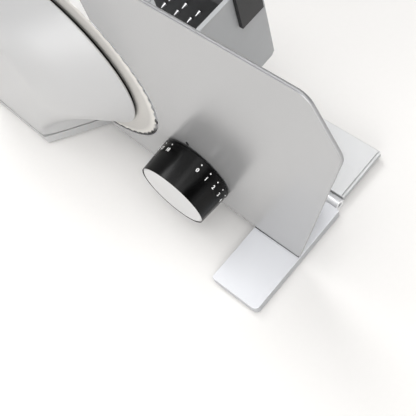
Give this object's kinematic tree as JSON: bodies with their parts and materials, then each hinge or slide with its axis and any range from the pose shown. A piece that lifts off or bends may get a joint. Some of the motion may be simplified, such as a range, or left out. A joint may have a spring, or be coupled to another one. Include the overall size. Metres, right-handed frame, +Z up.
{
  "type": "electric food slicer",
  "caption": "Folding electric food slicer: round wave-edged blade on a motor housing, stop plate set by a round knob, food carriage with pusher, fold-up rear flap.",
  "frame": {"origin": "middle of the footprint on the table, under the rubber feet", "axes": "+X along the stop plate away from the motor, +Y from the slice side to the food side, +Z up"},
  "size_m": [0.3528, 0.1436, 0.2255],
  "materials": {
    "plate_metal": "satin, fine and even",
    "housing_silver": "smooth silver paint, soft sheen",
    "foot_silver": "smooth silver paint",
    "flap_silver": "smooth light silver paint",
    "beam_silver": "smooth silver paint",
    "blade_steel": "turned steel with a ground edge",
    "knob_black": "gloss black",
    "cap_silver": "satin silver",
    "rubber": "matt",
    "steel": "plain steel",
    "hinge_chrome": "polished",
    "pin_steel": "dark steel",
    "bronze": "sintered bronze",
    "gear_plastic": "natural acetal",
    "frame_metal": "die-cast, matt",
    "frame_dark": "dark coated die-casting",
    "copper": "lacquered copper",
    "magnet": "ferrite",
    "black_plastic": "fine matt grain",
    "red_plastic": "gloss",
    "board_green": "lacquered",
    "carriage_grey": "fine matt grain"
  },
  "bodies": {
    "base": {"motor_housing": "housing_silver", "right_foot": "foot_silver", "motor_foot": "foot_silver", "base_beam": "beam_silver", "rubber_feet": "rubber", "base_screws": "steel", "nut_screws": "steel", "blade_axle": "steel", "axle_clip": "steel", "bridge_screws": "steel", "frame_screws": "steel", "housing_screws": "steel", "motor_can": "steel", "motor_bracket": "steel", "carriage_rail": "steel", "hinge_barrels": "hinge_chrome", "hinge_pin": "pin_steel", "thread_nut": "bronze", "guide_bushes": "bronze", "thrust_washer": "bronze", "shaft_bushes": "bronze", "worm_bearing": "bronze", "axle_bridge": "frame_metal", "bearing_block": "frame_metal", "gear_frame": "frame_dark", "magnets": "magnet", "bottom_cover": "black_plastic", "motor_end_cap": "black_plastic", "switch_body": "black_plastic", "cable_gland": "black_plastic", "brushes": "black_plastic", "capacitor": "black_plastic", "circuit_board": "board_green"},
    "stop_plate": {"stop_plate": "plate_metal", "guide_rods": "steel", "spindle_bush": "bronze"},
    "knob": {"knob": "knob_black", "knob_cap": "cap_silver", "knob_screw": "steel", "spindle": "steel", "wave_washer": "steel"},
    "blade": {"blade": "blade_steel", "blade_gear": "gear_plastic", "gear_bush": "bronze"},
    "blade_lock": {"blade_lock": "black_plastic"},
    "rotor": {"motor_shaft": "steel", "armature": "copper", "commutator": "copper", "worm": "steel"},
    "trigger": {"trigger_button": "black_plastic"},
    "lock": {"lock_button": "red_plastic"},
    "carriage": {"carriage": "carriage_grey", "glides": "gear_plastic", "thumb_guard": "carriage_grey", "guard_screws": "steel"},
    "pusher": {"pusher": "black_plastic", "pusher_spikes": "steel"},
    "flap": {"rear_flap": "flap_silver", "flap_pads": "rubber"}
  },
  "joints": [
    {"name": "stop_plate_slide", "type": "slide", "parent": "base", "child": "stop_plate", "axis": [0, -1, 0], "range_m": [0, 0.0199]},
    {"name": "knob_turn", "type": "hinge", "parent": "stop_plate", "child": "knob", "pos_m": [0.04957, -0.02545, 0.0535], "axis": [0, -1, 0], "range_deg": [0, 337]},
    {"name": "blade_spin", "type": "hinge", "parent": "base", "child": "blade", "pos_m": [-0.05943, -0.02545, 0.1117], "axis": [0, 1, 0], "continuous": true},
    {"name": "blade_lock_turn", "type": "hinge", "parent": "blade", "child": "blade_lock", "pos_m": [-0.05943, -0.02545, 0.1117], "axis": [0, 1, 0], "range_deg": [0, 60]},
    {"name": "rotor_spin", "type": "hinge", "parent": "base", "child": "rotor", "pos_m": [-0.05943, -0.04425, 0.0674], "axis": [1, 0, 0], "continuous": true},
    {"name": "trigger_press", "type": "slide", "parent": "base", "child": "trigger", "axis": [1, 0, 0], "range_m": [0, 0.004], "stiffness_N_per_m": 600, "springref_m": -0.002},
    {"name": "lock_press", "type": "slide", "parent": "base", "child": "lock", "axis": [1, 0, 0], "range_m": [0, 0.003], "stiffness_N_per_m": 500, "springref_m": -0.002},
    {"name": "carriage_slide", "type": "slide", "parent": "base", "child": "carriage", "axis": [1, 0, 0], "range_m": [-0.065, 0.11]},
    {"name": "pusher_slide", "type": "slide", "parent": "carriage", "child": "pusher", "axis": [0, -1, 0], "range_m": [0, 0.055]},
    {"name": "flap_fold", "type": "hinge", "parent": "base", "child": "flap", "pos_m": [0.04957, 0.02355, 0.0056], "axis": [1, 0, 0], "range_deg": [0, 90]}
  ],
  "couplings": [
    {"joint": "stop_plate_slide", "follows": "knob_turn", "m_per_rad": 0.0033741},
    {"joint": "rotor_spin", "follows": "blade_spin", "ratio": -30}
  ]
}
